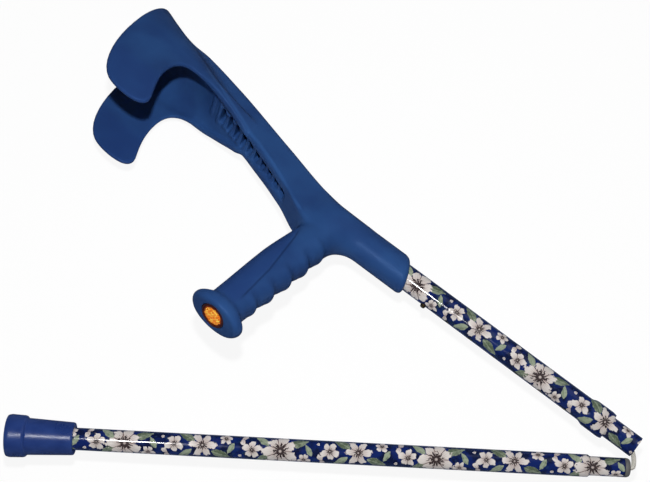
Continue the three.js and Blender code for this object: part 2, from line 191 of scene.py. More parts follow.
def srgb(r, g, b):
    """Linear colour from 0-255 display values."""
    values = [c / 255 for c in (r, g, b)]
    return tuple(c / 12.92 if c <= 0.04045 else ((c + 0.055) / 1.055) ** 2.4 for c in values)


def material(name, build):
    """A node material; build(graph, surface) sets the surface shader's inputs."""
    made = bpy.data.materials.new(name)
    made.use_nodes = True
    made.node_tree.nodes.clear()
    graph = Graph(made.node_tree)
    surface = graph.node("ShaderNodeBsdfPrincipled")
    output = graph.node("ShaderNodeOutputMaterial")
    graph.put(output.inputs["Surface"], surface.outputs[0])
    build(graph, surface)
    return made


def group(name, inputs, build):
    """A reusable node group; inputs are (name, kind) pairs and its one output is a colour."""
    tree = bpy.data.node_groups.new(name, "ShaderNodeTree")
    for label, kind in inputs:
        tree.interface.new_socket(name=label, in_out="INPUT", socket_type="NodeSocket" + kind)
    tree.interface.new_socket(name="Color", in_out="OUTPUT", socket_type="NodeSocketColor")
    graph = Graph(tree)
    entry = graph.node("NodeGroupInput")
    colour = build(graph, {label: entry.outputs[label] for label, _ in inputs})
    graph.put(graph.node("NodeGroupOutput").inputs[0], colour)
    return tree


# ---------------------------------------------------------------- mesh helpers
def mesh_object(name, vertices, faces, matrix, paint, smooth_angle=35):
    """A piece from points in the matrix's frame; without a smooth angle it gets no shading modifier."""
    data = bpy.data.meshes.new(name)
    points = np.asarray(vertices, float)
    m = np.array(matrix)
    points = points @ m[:3, :3].T + m[:3, 3]
    data.from_pydata(points.tolist(), [], faces)
    data.validate()
    data.update()
    data.materials.append(paint)
    made = bpy.data.objects.new(name, data)
    scene.collection.objects.link(made)
    for polygon in data.polygons:
        polygon.use_smooth = True
    if smooth_angle:
        data.set_sharp_from_angle(angle=math.radians(smooth_angle))
        weighted = made.modifiers.new("even shading", "WEIGHTED_NORMAL")
        weighted.keep_sharp = True
    return made


def softened(loop, closed=True, steps=4):
    """Rounds the corners of an outline of (x, r, radius) points."""
    out = []
    count = len(loop)
    for i, (x, r, radius) in enumerate(loop):
        if radius <= 0 or (not closed and i in (0, count - 1)):
            out.append((x, r))
            continue
        here = Vector((x, r))
        before = Vector(loop[i - 1][:2]) - here
        after = Vector(loop[(i + 1) % count][:2]) - here
        reach = min(radius, before.length * 0.49, after.length * 0.49)
        a, b = here + before.normalized() * reach, here + after.normalized() * reach
        for k in range(steps + 1):
            t = k / steps
            p = a * (1 - t) ** 2 + here * 2 * t * (1 - t) + b * t * t
            out.append((p.x, p.y))
    return out


def turned(name, loop, matrix, paint, around=None, closed=True):
    """Body of revolution about x from an outline; an open outline starts and ends on the axis."""
    around = around or AROUND
    outline = softened(loop, closed)
    vertices, faces, rows = [], [], []
    for x, r in outline:
        if r < 1e-6:
            rows.append([len(vertices)])
            vertices.append((x, 0, 0))
            continue
        row = []
        for k in range(around):
            angle = 2 * math.pi * k / around
            row.append(len(vertices))
            vertices.append((x, r * math.cos(angle), r * math.sin(angle)))
        rows.append(row)
    pairs = list(zip(rows, rows[1:] + rows[:1])) if closed else list(zip(rows, rows[1:]))
    for a, b in pairs:
        for k in range(around):
            j = (k + 1) % around
            corners = [a[k % len(a)], a[j % len(a)], b[j % len(b)], b[k % len(b)]]
            unique = list(dict.fromkeys(corners))
            if len(unique) > 2:
                faces.append(unique)
    return mesh_object(name, vertices, faces, matrix, paint)


def facing_out(made):
    """Turns a closed mesh's faces outward if they all face in."""
    data = made.data
    data.calc_loop_triangles()
    volume = 0.0
    for triangle in data.loop_triangles:
        a, b, c = (data.vertices[i].co for i in triangle.vertices)
        volume += a.dot(b.cross(c))
    if volume < 0:
        data.flip_normals()
    return made


def drilled(made, cutters):
    """Cuts closed cutters out of a mesh and drops them."""
    for cutter in cutters:
        facing_out(cutter)
        cut = made.modifiers.new("hole", "BOOLEAN")
        cut.operation = "DIFFERENCE"
        cut.solver = "EXACT"
        cut.object = cutter
    bpy.context.view_layer.update()
    graph = bpy.context.evaluated_depsgraph_get()
    shading = made.modifiers.get("even shading")
    if shading:
        shading.show_viewport = False
    graph.update()
    result = bpy.data.meshes.new_from_object(made.evaluated_get(graph))
    for modifier in list(made.modifiers):
        if modifier.type == "BOOLEAN":
            made.modifiers.remove(modifier)
    made.data = result
    if shading:
        shading.show_viewport = True
    result.set_sharp_from_angle(angle=math.radians(35))
    for cutter in cutters:
        bpy.data.objects.remove(cutter)
    return made


def settle(made, body, slot, *nodes):
    """Puts a finished piece on its body in place of its CAD nodes."""
    facing_out(made)
    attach(made, body)
    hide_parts(*nodes)
    return made


# ---------------------------------------------------------------- printed film: flowers and leaves
def inputs_of(*numbers):
    return [("Place", "Vector"), ("Centre", "Vector"), *((n, "Float") for n in numbers), ("Below", "Color")]


FLOWER_INPUTS = inputs_of("Turn", "Size", "Petals", "Point", "Open", "Heart", "Wobble")
LEAF_INPUTS = inputs_of("Turn", "Length", "Width", "Tone", "Wobble")
PETAL_LIGHT = srgb(233, 226, 221)
PETAL_WARM = srgb(168, 144, 138)
STAMEN = srgb(34, 18, 26)
LEAF_DARK = srgb(92, 106, 86)
LEAF_LIGHT = srgb(162, 174, 150)


def turned_place(g, s, length):
    """Position about the item's centre, turned with it and in units of its size."""
    away = g.vector("SUBTRACT", s["Place"], s["Centre"])
    made = g.node("ShaderNodeVectorRotate", rotation_type="Z_AXIS")
    g.put(made.inputs["Vector"], away)
    g.put(made.inputs["Angle"], g.math("MULTIPLY", s["Turn"], -1.0))
    return g.vector("SCALE", made.outputs[0], scale=g.math("DIVIDE", 1.0, length))


def flower_nodes(g, s):
    q = turned_place(g, s, s["Size"])
    x, y, _ = g.xyz(q)
    r = g.vector("LENGTH", q)
    angle = g.math("ARCTAN2", y, x)
    lobes = g.math("MULTIPLY", angle, s["Petals"])
    half = g.math("ABSOLUTE", g.math("COSINE", g.math("MULTIPLY", lobes, 0.5)))
    closed = g.math("SUBTRACT", 1.0, s["Open"])
    reach = g.math("MULTIPLY_ADD", g.math("POWER", half, s["Point"]), closed, s["Open"])
    uneven = g.math("SINE", g.math("MULTIPLY_ADD", angle, 3.0, s["Size"]))
    reach = g.math("MULTIPLY_ADD", uneven, 0.09, reach)
    reach = g.math("MULTIPLY_ADD", s["Wobble"], 0.7, reach)
    edge = g.math("SUBTRACT", reach, r)
    mask = g.step(edge, 0.0, 0.05)
    vein_turn = g.math("MULTIPLY_ADD", s["Wobble"], 3.0, g.math("MULTIPLY", lobes, 2.5))
    veins = g.math("MULTIPLY", g.math("ABSOLUTE", g.math("SINE", vein_turn)), g.step(r, 0.85, 0.25))
    shade = g.math("ADD", g.math("MULTIPLY", veins, 0.75), g.step(half, 0.35, 0.0, 0.0, 0.7))
    petal = g.mix(g.math("MINIMUM", shade, 1.0), PETAL_LIGHT, PETAL_WARM)
    gap = g.math("MULTIPLY", g.step(half, 0.14, 0.03), g.step(r, 0.2, 0.5))
    petal = g.mix(g.math("MULTIPLY", gap, 0.75), petal, STAMEN)
    rim = g.step(edge, 0.08, 0.0, 0.0, 0.55)
    petal = g.mix(rim, petal, PETAL_WARM)
    spoke_turn = g.math("MULTIPLY_ADD", s["Wobble"], 14.0, g.math("MULTIPLY", angle, 11.0))
    spokes = g.math("MULTIPLY_ADD", g.math("COSINE", spoke_turn), 0.5, 0.5)
    reach_in = g.math("MULTIPLY", s["Heart"], g.math("MULTIPLY_ADD", s["Wobble"], 1.2, 1.0))
    near = g.step(g.math("DIVIDE", r, reach_in), 0.3, 1.1, 0.0, 1.2)
    strokes = g.step(g.math("SUBTRACT", spokes, near), -0.12, 0.03)
    eye = g.step(g.math("DIVIDE", r, s["Heart"]), 0.08, 0.2)
    petal = g.mix(g.math("MULTIPLY", g.math("MULTIPLY", strokes, eye), 0.94), petal, STAMEN)
    return g.mix(mask, s["Below"], petal)


def leaf_nodes(g, s):
    q = turned_place(g, s, s["Length"])
    x, y, _ = g.xyz(q)
    side = g.math("ABSOLUTE", y)
    square = g.math("MULTIPLY", x, x)
    width = g.math("MULTIPLY", s["Width"], g.math("MULTIPLY_ADD", x, -0.3, 1.0))
    half = g.math("MULTIPLY", g.math("SUBTRACT", 1.0, square), width)
    half = g.math("MULTIPLY_ADD", s["Wobble"], 0.25, half)
    edge = g.math("SUBTRACT", half, side)
    mask = g.math("MULTIPLY", g.step(edge, 0.0, 0.06), g.step(square, 1.0, 0.93))
    light = g.math("MULTIPLY_ADD", g.step(y, -0.03, 0.03), 0.28, g.math("MULTIPLY", s["Tone"], 0.6))
    rows = g.math("SINE", g.math("MULTIPLY", g.math("MULTIPLY_ADD", side, 1.5, x), 17.0))
    light = g.math("MULTIPLY_ADD", g.step(rows, 0.5, 1.0), 0.22, light)
    light = g.math("ADD", light, g.step(side, 0.07, 0.02, 0.0, 0.5))
    light = g.math("ADD", light, g.step(edge, 0.09, 0.02, 0.0, 0.35))
    light = g.math("MULTIPLY_ADD", s["Wobble"], 2.0, light, clamp=True)
    tint = g.mix(light, LEAF_DARK, LEAF_LIGHT)
    return g.mix(mask, s["Below"], tint)


FLOWER = group("flower", FLOWER_INPUTS, flower_nodes)
LEAF = group("leaf", LEAF_INPUTS, leaf_nodes)
# kind: petals, how pointed, how open between petals, size of the dark heart
KINDS = {
    "anemone": (7, 0.6, 0.62, 0.54),
    "star": (6, 1.1, 0.42, 0.42),
    "small": (5, 0.7, 0.5, 0.42),
    "bud": (2, 2.5, 0.12, 0.1),
    "dot": (5, 0.3, 0.8, 0.01),
}
# One motif of a made-up print: kind, along the tube, round it, size and turn, in mm and degrees;
# a leaf has its width and tone as well.
MOTIF = [
    ("leaf", -16, 7, 9, 160, 0.45, 0), ("leaf", 14, -9, 9, -35, 0.45, 0), ("leaf", 15, 8, 8, 40, 0.4, 1),
    ("blossom", 0, -1, 15, 0), ("small", 24, -1, 8, 20), ("small", -20, -8, 6, 50), ("dot", 34, -7, 1.5, 0),
    ("bud", 31, 8, 6, 110), ("leaf", -24, 1, 6, 60, 0.4, 1),
]
MOTIF_PITCH = 66
PRINT_REPEAT = 2 * MOTIF_PITCH  # a large blossom and a smaller, mirrored one
FAR_SIDE_MOVE = 0.43  # of one repeat
SEEN_SIDE = math.radians(77)  # the print starts over on the side of the tube away from it


def floral_print():
    """The items of one repeat, mirrored from one motif to the next."""
    items = []
    for i, (blossom, larger, side) in enumerate((("anemone", 0, 1), ("star", -3, -1))):
        for kind, along, across, size, turn, *leaf in MOTIF:
            if kind == "blossom":
                kind = blossom
                size += larger
            centre = MOTIF_PITCH * (i + 0.5) + along
            items.append((kind, centre, side * across, size, side * turn, *leaf))
    return items


def print_colour(g, matrix, radius):
    """Colour of the film: navy with pale flowers, the far side carrying the same print moved along."""
    place = g.local(matrix)
    x, y, z = g.xyz(place)
    angle = g.math("SUBTRACT", g.math("ARCTAN2", z, y), SEEN_SIDE)
    back = g.math("FLOOR", g.math("ADD", g.math("DIVIDE", angle, math.pi), 0.5))
    folded = g.math("SUBTRACT", angle, g.math("MULTIPLY", back, math.pi))
    moved = g.math("MULTIPLY_ADD", g.math("ABSOLUTE", back), PRINT_REPEAT * FAR_SIDE_MOVE, x)
    along = g.math("WRAP", moved, PRINT_REPEAT, 0.0)
    flat = g.join(along, g.math("MULTIPLY", folded, radius))
    wobble = g.math("SUBTRACT", g.noise(place, 0.35, 3.0), 0.5)
    cloud = g.noise(place, 0.09, 3.0)
    colour = g.mix(g.step(cloud, 0.42, 0.62), srgb(17, 38, 104), srgb(12, 24, 64))
    spray = g.step(g.noise(g.vector("ADD", place, (40, 5, 9)), 0.22, 4.0, 0.6), 0.58, 0.63)
    colour = g.mix(g.math("MULTIPLY", spray, 0.5), colour, srgb(36, 64, 92))
    for kind, along_tube, across, size, turn, *leaf in floral_print():
        for shift in (-PRINT_REPEAT, 0, PRINT_REPEAT):
            centre = along_tube + shift
            if not -size < centre < PRINT_REPEAT + size:
                continue
            made = g.node("ShaderNodeGroup", node_tree=LEAF if kind == "leaf" else FLOWER)
            values = {"Place": flat, "Centre": (centre, across, 0), "Turn": math.radians(turn)}
            values.update({"Wobble": wobble, "Below": colour})
            if kind == "leaf":
                values.update({"Length": float(size), "Width": leaf[0], "Tone": float(leaf[1])})
            else:
                petals, point, opening, heart = KINDS[kind]
                values.update({"Size": float(size), "Petals": float(petals)})
                values.update({"Point": point, "Open": opening, "Heart": heart})
            for label, value in values.items():
                g.put(made.inputs[label], value)
            colour = made.outputs[0]
    return colour, place


def printed_film(name, matrix, radius):
    """Glossy printed film on a tube whose inside and cut ends are bare metal."""

    def build(g, surface):
        colour, place = print_colour(g, matrix, radius)
        x, y, z = g.xyz(place)
        outward = g.vector("NORMALIZE", g.join(0.0, y, z))
        facing = g.node("ShaderNodeMapping", vector_type="VECTOR")
        g.put(facing.inputs["Vector"], g.node("ShaderNodeTexCoord").outputs["Normal"])
        facing.inputs["Rotation"].default_value = matrix.inverted().decompose()[1].to_euler("XYZ")
        along_normal = g.node("ShaderNodeVectorMath", operation="DOT_PRODUCT")
        g.put(along_normal.inputs[0], outward)
        g.put(along_normal.inputs[1], facing.outputs[0])
        bare = g.step(along_normal.outputs["Value"], 0.35, 0.15)
        brushed = g.noise(g.vector("MULTIPLY", place, (0.4, 3.0, 3.0)), 2.0, 3.0)
        metal = g.mix(brushed, srgb(120, 122, 126), srgb(175, 176, 180))
        g.put(surface.inputs["Base Color"], g.mix(bare, colour, metal))
        g.put(surface.inputs["Metallic"], bare)
        wear = g.noise(place, 0.5, 5.0, 0.65)
        worn = g.step(wear, 0.3, 0.8, 0.12, 0.24)
        g.put(surface.inputs["Roughness"], g.math("ADD", worn, g.math("MULTIPLY", bare, 0.2)))
        g.put(surface.inputs["Coat Weight"], g.math("SUBTRACT", 0.8, g.math("MULTIPLY", bare, 0.8)))
        surface.inputs["Coat Roughness"].default_value = 0.04
        g.put(surface.inputs["Normal"], g.bump(g.noise(place, 0.12, 2.0), 0.06, 0.0005))

    return material(name, build)


# ---------------------------------------------------------------- other materials
def handle_paint(g, surface):
    """Moulded plastic with painted light: a painted highlight along its lip, painted shade on the grip's
    upper facet and in its crease, and painted shade where it turns edge-on.
    """
    place = g.local(HANDLE)
    crease = g.attribute("crease").outputs["Fac"]
    grip = g.attribute("grip").outputs["Fac"]
    cloud = g.noise(place, 0.03, 3.0)
    colour = g.mix(g.step(cloud, 0.3, 0.7), srgb(38, 68, 122), srgb(44, 80, 136))
    # painted shade: the grip's upper facet, above the crease, is tinted darker and more violet
    colour = g.mix(g.math("MULTIPLY", grip, 0.5), colour, srgb(37, 64, 124))
    # painted shade: a dark line along the shallow crease groove of the grip
    marked = g.attribute("marked").outputs["Fac"]
    line = g.math("MULTIPLY", g.step(g.math("ABSOLUTE", crease), 1.5, 0.2), marked)
    colour = g.mix(g.math("MULTIPLY", line, 0.5), colour, srgb(14, 26, 62))
    speck = g.noise(place, 2.6, 2.0)
    colour = g.mix(g.step(speck, 0.66, 0.76, 0.0, 0.25), colour, srgb(66, 100, 150))
    # painted highlight: a lighter blue line along the lip
    painted_lip_highlight = g.math("MULTIPLY", g.step(g.attribute("lip").outputs["Fac"], 2.6, 0.3), 0.5)
    colour = g.mix(painted_lip_highlight, colour, srgb(54, 96, 158))
    edge_on = g.node("ShaderNodeLayerWeight").outputs["Facing"]
    # painted shade: darker blue where the surface turns edge-on to the view
    colour = g.mix(g.step(edge_on, 0.66, 0.99, 0.0, 0.4), colour, srgb(18, 42, 92))
    g.put(surface.inputs["Base Color"], colour)
    g.put(surface.inputs["Roughness"], g.step(g.noise(place, 0.12, 5.0, 0.6), 0.3, 0.75, 0.38, 0.5))
    g.put(surface.inputs["Specular IOR Level"], g.step(edge_on, 0.5, 0.95, 0.75, 0.1))
    g.put(surface.inputs["Specular Tint"], srgb(150, 190, 255))
    grain = g.math("ADD", g.noise(place, 1.7, 3.0, 0.6), g.math("MULTIPLY", g.noise(place, 0.2, 2.0), 0.8))
    g.put(surface.inputs["Normal"], g.bump(grain, 0.16, 0.0004))


def rubber_paint(g, surface):
    """Smooth blue rubber with a trace of dust."""
    place = g.local(LEG)
    cloud = g.noise(place, 0.07, 4.0)
    colour = g.mix(g.step(cloud, 0.35, 0.7), srgb(33, 58, 122), srgb(42, 68, 134))
    dust = g.step(g.noise(place, 0.9, 6.0, 0.7), 0.55, 0.8, 0.0, 0.07)
    g.put(surface.inputs["Base Color"], g.mix(dust, colour, srgb(86, 106, 158)))
    g.put(surface.inputs["Roughness"], g.step(cloud, 0.3, 0.7, 0.27, 0.33))
    surface.inputs["Specular IOR Level"].default_value = 0.85
    g.put(surface.inputs["Normal"], g.bump(g.noise(place, 1.2, 4.0), 0.08, 0.0004))


def plain(colour, other, roughness, metallic=0.0, scale=60.0, stretch=(1, 1, 1), grain=0.1):
    """Two-tone mottled surface with a fine grain."""

    def build(g, surface):
        place = g.vector("MULTIPLY", g.node("ShaderNodeTexCoord").outputs["Object"], stretch)
        cloud = g.noise(place, scale, 4.0)
        g.put(surface.inputs["Base Color"], g.mix(g.step(cloud, 0.35, 0.65), colour, other))
        g.put(surface.inputs["Roughness"], g.step(cloud, 0.3, 0.7, roughness - 0.06, roughness + 0.08))
        surface.inputs["Metallic"].default_value = metallic
        g.put(surface.inputs["Normal"], g.bump(g.noise(place, scale * 14, 3.0), grain, 0.0003))

    return build


def lens_paint(g, surface):
    """Amber reflector: a grid of small prisms, each with a painted highlight of its own strength, darker
    seams between them and a painted glow.
    """
    place = g.local(GRIP)
    x, y, z = g.xyz(place)
    cells = g.node("ShaderNodeTexVoronoi", feature="F1", distance="CHEBYCHEV")
    g.put(cells.inputs["Vector"], g.join(g.math("ADD", y, z), g.math("SUBTRACT", y, z)))
    g.put(cells.inputs["Scale"], 0.42)
    g.put(cells.inputs["Randomness"], 0.12)
    # painted highlight: each prism is a lighter or darker amber
    tone = g.xyz(cells.outputs["Color"])[0]
    colour = g.mix(tone, srgb(226, 104, 4), srgb(255, 212, 84))
    seam = g.step(cells.outputs["Distance"], 0.26, 0.46)
    colour = g.mix(g.math("MULTIPLY", seam, 0.9), colour, srgb(128, 46, 4))
    edge = g.step(g.math("MULTIPLY_ADD", tone, 1.2, g.vector("LENGTH", g.join(y, z))), 8.9, 9.5)
    colour = g.mix(edge, colour, srgb(96, 34, 10))
    g.put(surface.inputs["Base Color"], colour)
    # painted glow: the amber lens gives off its own light though it is no lamp
    g.put(surface.inputs["Emission Color"], colour)
    surface.inputs["Emission Strength"].default_value = 0.75
    surface.inputs["Roughness"].default_value = 0.3
    surface.inputs["Specular IOR Level"].default_value = 0.25
    g.put(surface.inputs["Normal"], g.bump(cells.outputs["Distance"], 0.4, 0.0008))


def cord_paint(g, surface):
    """Braided sleeve: two sets of yarns crossing at a slant, from the piece's own along and round values."""
    along = g.attribute("along").outputs["Fac"]
    turn = g.attribute("turn").outputs["Fac"]
    one = g.math("SINE", g.math("MULTIPLY_ADD", turn, 8.0, g.math("MULTIPLY", along, 3.4)))
    two = g.math("SINE", g.math("MULTIPLY_ADD", turn, -8.0, g.math("MULTIPLY", along, 3.4)))
    weave = g.math("MAXIMUM", one, two)
    colour = g.mix(g.step(weave, -0.2, 0.9), srgb(168, 164, 152), srgb(236, 233, 224))
    g.put(surface.inputs["Base Color"], colour)
    surface.inputs["Roughness"].default_value = 0.85
    g.put(surface.inputs["Normal"], g.bump(weave, 0.6, 0.0004))


paint = {
    "handle": material("handle_plastic", handle_paint),
    "rubber": material("ferrule_rubber", rubber_paint),
    "lens": material("reflector_lens", lens_paint),
    "cup": material("reflector_rim", plain(srgb(62, 24, 18), srgb(88, 36, 26), 0.4)),
    "nose": material("nose_plastic", plain(srgb(104, 104, 104), srgb(124, 124, 122), 0.5)),
    "dark": material("dark_plastic", plain(srgb(38, 40, 46), srgb(54, 56, 62), 0.5)),
    "brass": material("button_metal", plain(srgb(176, 148, 100), srgb(206, 188, 150), 0.22, 1.0)),
    "steel": material(
        "spring_steel", plain(srgb(150, 152, 156), srgb(184, 186, 190), 0.32, 1.0, 90, (1, 6, 6))
    ),
    "crimp": material("crimp_aluminium", plain(srgb(166, 168, 172), srgb(196, 198, 200), 0.36, 1.0)),
    "cord": material("shock_cord", cord_paint),
    "upper": printed_film("upper_print", SHAFT, UPPER_R),
    "inner": printed_film("inner_print", SHAFT, INNER_R),
    "leg": printed_film("leg_print", LEG, INNER_R),
}


# ---------------------------------------------------------------- handle: one smooth moulding
def ease(low, high, x):
    t = np.clip((x - low) / (high - low), 0, 1)
    return t * t * (3 - 2 * t)


def blend(a, b, t):
    return a + (b - a) * t


def smooth_min(a, b, k):
    h = np.maximum(k - np.abs(a - b), 0) / k
    return np.minimum(a, b) - h * h * (k / 4)


def smooth_max(a, b, k):
    h = np.maximum(k - np.abs(a - b), 0) / k
    return np.maximum(a, b) + h * h * (k / 4)


def line_through(points):
    """Smooth curve y(x) through a few points."""
    xs, ys = np.array(points, float).T
    slopes = np.gradient(ys, xs)

    def at(x):
        i = np.clip(np.searchsorted(xs, x) - 1, 0, len(xs) - 2)
        h = xs[i + 1] - xs[i]
        t = np.clip((x - xs[i]) / h, 0, 1)
        return (
            (2 * t**3 - 3 * t**2 + 1) * ys[i] + (t**3 - 2 * t**2 + t) * h * slopes[i]
            + (3 * t**2 - 2 * t**3) * ys[i + 1] + (t**3 - t**2) * h * slopes[i + 1]
        )

    return at


def outline_distance(points, u, v):
    """Signed distance in the plane to a closed outline."""
    nearest = np.full(np.broadcast(u, v).shape, 1e9)
    inside = np.zeros(nearest.shape, bool)
    for a, b in zip(points, np.roll(points, -1, axis=0)):
        ex, ey = b - a
        wx, wy = u - a[0], v - a[1]
        t = np.clip((wx * ex + wy * ey) / (ex * ex + ey * ey + 1e-12), 0, 1)
        nearest = np.minimum(nearest, (wx - t * ex) ** 2 + (wy - t * ey) ** 2)
        if abs(b[1] - a[1]) > 1e-9:
            crosses = ((a[1] > v) != (b[1] > v)) & (u < ex * (v - a[1]) / (b[1] - a[1]) + a[0])
            inside ^= crosses
    return np.sqrt(nearest) * np.where(inside, -1, 1)


def outline(start, *pieces, steps=10):
    """Closed outline; a piece is the next corner, or the three further points of a cubic curve."""
    points = [np.array(start, float)]
    for piece in pieces:
        if np.ndim(piece) == 1:
            points.append(np.array(piece, float))
            continue
        a, (b, c, d) = points[-1], np.array(piece, float)
        for t in np.arange(1, steps + 1) / steps:
            points.append((1 - t) ** 3 * a + 3 * (1 - t) ** 2 * t * b + 3 * (1 - t) * t**2 * c + t**3 * d)
    return np.array(points)


# side view of the handle: heights over the root (u) against the distance in front of the tube's axis (v)
BACK = line_through([(-60, -9), (12, -14), (72, -31), (147, -53), (192, -63), (215, -65), (254, -75)])
FRONT_EDGE = line_through([(-30, 8), (12, 27), (49, 6), (99, -13), (148, -28), (191, -50), (260, -76)])
CUFF_DEPTH = line_through([(100, 7), (148, 13), (191, 28), (225, 41), (256, 56)])
FLOOR = line_through([(96, -11), (126, -20), (148, -26), (191, -48), (256, -75)])
LIP_LINE = line_through([(10, 25), (30, 19), (59, 4), (97, -12), (150, -24), (205, -44)])
TROUGH_CENTRE = line_through([(96, -10), (126, -18), (191, -24), (256, -25)])
SIDE_OUTLINE = outline(
    (-30, -60), (251, -130), (252, -27),
    ((252, 10), (240, 44), (223, 53)),  # front of the wing
    ((213, 58), (196, 59), (188, 56)),  # its tip
    ((181, 53), (180, 48), (185, 39)),
    ((191, 26), (196, 14), (195.5, 0)),  # throat under the wing
    ((195, -15), (188, -21), (170, -21)),
    ((140, -18.5), (122, -16), (100, -9.5)),  # down the front of the stem
    ((80, 0), (52, 11), (24, 28)),
    (0, 40), (-30, 40),
)


STEM_HALF = 16
FIRST_RIB = 56.3
RIB_PITCH = 10.1
SLOT_RIBS = 9
FLOOR_RIDGES = 2
CUFF_CENTRE = -25.0
FLANGE_R = 26.5
FLANGE_ROUND = 4.6


def rounded(a, b, radius):
    """Distance to a corner with this radius, from the distances to its sides moved in by it."""
    return np.sqrt(np.maximum(a, 0) ** 2 + np.maximum(b, 0) ** 2) + np.minimum(np.maximum(a, b), 0) - radius


def shell_half_width(u, v):
    """Half the cuff's outer width: it grows upward and towards the wings."""
    lip = 5 * ease(98, 140, u) * (1 - ease(150, 184, u)) * ease(-40, -20, v)
    back = STEM_HALF + 28 * ease(95, 235, u) + lip
    front = blend(STEM_HALF, 44.5, ease(110, 182, u))
    return blend(back, np.maximum(back, front), ease(-22, 20, v))


def trough(u, v, w, half_width, centre, depth):
    """Signed distance, roughly, to a half pipe that opens towards +v."""
    e = np.maximum(centre - v, 0) / depth
    g = np.sqrt((w / half_width) ** 2 + e**2)
    steep = np.sqrt((w / half_width**2) ** 2 + (e / depth) ** 2) + 1e-3
    return (g - 1) * g / steep


def stem_distance(u, v, w):
    """Rounded bar that leans back."""
    back, front = BACK(u), FRONT_EDGE(u) + 4 * ease(12, 58, u)
    radius = blend(6.5, 4.0, ease(0.5, 0.9, (v - back) / (front - back)))
    across = np.abs(v - (back + front) / 2) - (front - back) / 2 + radius
    return smooth_max(rounded(across, w - STEM_HALF + radius, radius), -4 - u, 24)


def cuff_distance(u, v, w, half):
    """Shell that flares out of the stem's front edges."""
    return smooth_max(trough(u, v, w, half, CUFF_CENTRE, CUFF_DEPTH(u)), 108 - u, 8)


def hollow_distance(u, v, w, half):
    """The room for the forearm inside the cuff."""
    centre = TROUGH_CENTRE(u)
    wall = blend(8, 4.5, ease(138, 190, u))
    hollow = trough(u, v, w, half - wall, centre, np.maximum(centre - FLOOR(u), 1.0))
    return smooth_max(hollow, 101 - u, 5)


def slot_half_width(u):
    return blend(4.6, 8.6, ease(40, 130, u))


def slot_distance(u, v, w):
    """Slot down the stem's front."""
    slot = smooth_max(w - slot_half_width(u), BACK(u) + 5 - v, 4)
    return smooth_max(slot, np.abs(u - 96) - 50, 5)


def with_ribs(body, u, v, w):
    """Adds the plates across the slot and the low ridges on the cuff's floor above them."""
    lip = FRONT_EDGE(u) + 3.6
    for i in range(SLOT_RIBS):
        plate = np.abs(u - (FIRST_RIB + RIB_PITCH * i)) - blend(2.1, 2.9, np.clip(w / 10, 0, 1))
        plate = smooth_max(plate, v - (lip - blend(3.2, 1.0, ease(2, 10, w))), 1.5)
        plate = np.maximum(plate, np.maximum(w - slot_half_width(u) - 2, BACK(u) + 2 - v))
        body = smooth_min(body, plate, 1.6)
    for i in range(SLOT_RIBS, SLOT_RIBS + FLOOR_RIDGES):
        ridge = np.abs(u - (FIRST_RIB + RIB_PITCH * i)) - 1.7
        ridge = smooth_max(ridge, np.abs(v - FLOOR(u) + 3) - 4.5, 1.5)
        body = smooth_min(body, smooth_max(ridge, w - 13, 4), 2.0)
    return body


def neck_distance(u, v, w):
    """Sleeve round the tube, cut at a slant."""
    lean = 0.48
    slant = (-84.6 - lean * v - u) / math.hypot(1, lean)
    return smooth_max(smooth_max(np.sqrt(v**2 + w**2) - 16.2, slant, 6), u - 22, 26)


def grip_place(u, v):
    """Distance out along the grip, and across it towards the cuff."""
    cos_t, sin_t = math.cos(GRIP_TILT), math.sin(GRIP_TILT)
    return (u - GRIP_OFFSET) * sin_t + v * cos_t, (u - GRIP_OFFSET) * cos_t - v * sin_t


def crease_height(s):
    """Across the grip, where the parting crease runs."""
    return np.interp(s, [30, 52.6, 96, 136, 150], [12, 4.9, -4.0, -8.0, -9])


def crease_part(s, w):
    return ease(34, 50, s) * (1 - ease(128, 140, s)) * ease(9, 13, w)


def flange_distance(s, y, w):
    """Domed disc on the grip's end."""
    ring = np.sqrt((y + 1) ** 2 + (w * FLANGE_R / 17.5) ** 2)
    bulge = s + 0.0022 * ring**2
    return rounded(np.abs(bulge - 155.5) - 5.0 + FLANGE_ROUND, ring - FLANGE_R + FLANGE_ROUND, FLANGE_ROUND)


def grip_distance(s, y, w):
    """Grip with finger waves underneath, and its flange."""
    top = 14 + 3.8 * ease(20, 80, s) - 1.6 * ease(75, 150, s)
    turn = 2 * math.pi * (s - 49) / 22.6 + 2.5
    wave = (np.cos(turn) - 0.3 * np.sin(2 * turn)) * ease(30, 42, s) * (1 - ease(124, 136, s))
    bottom = -20.5 + 1.5 * ease(60, 150, s)
    side = 17.5 - 1.5 * ease(30, 80, s) - 0.5 * ease(90, 140, s)
    middle, high = (top + bottom) / 2, (top - bottom) / 2
    g = ((w / side) ** 2.25 + (np.abs(y - middle) / high) ** 2.25) ** (1 / 2.25)
    grip = (g - 1) * np.minimum(side, high) - 1.0 * wave * ease(4, 19, -y)
    grip = grip + 0.45 * np.exp(-(((y - crease_height(s)) / 1.6) ** 2)) * crease_part(s, w)
    grip = smooth_max(smooth_max(grip, -s, 4), s - 155, 2)
    return smooth_min(grip, flange_distance(s, y, w), 7)


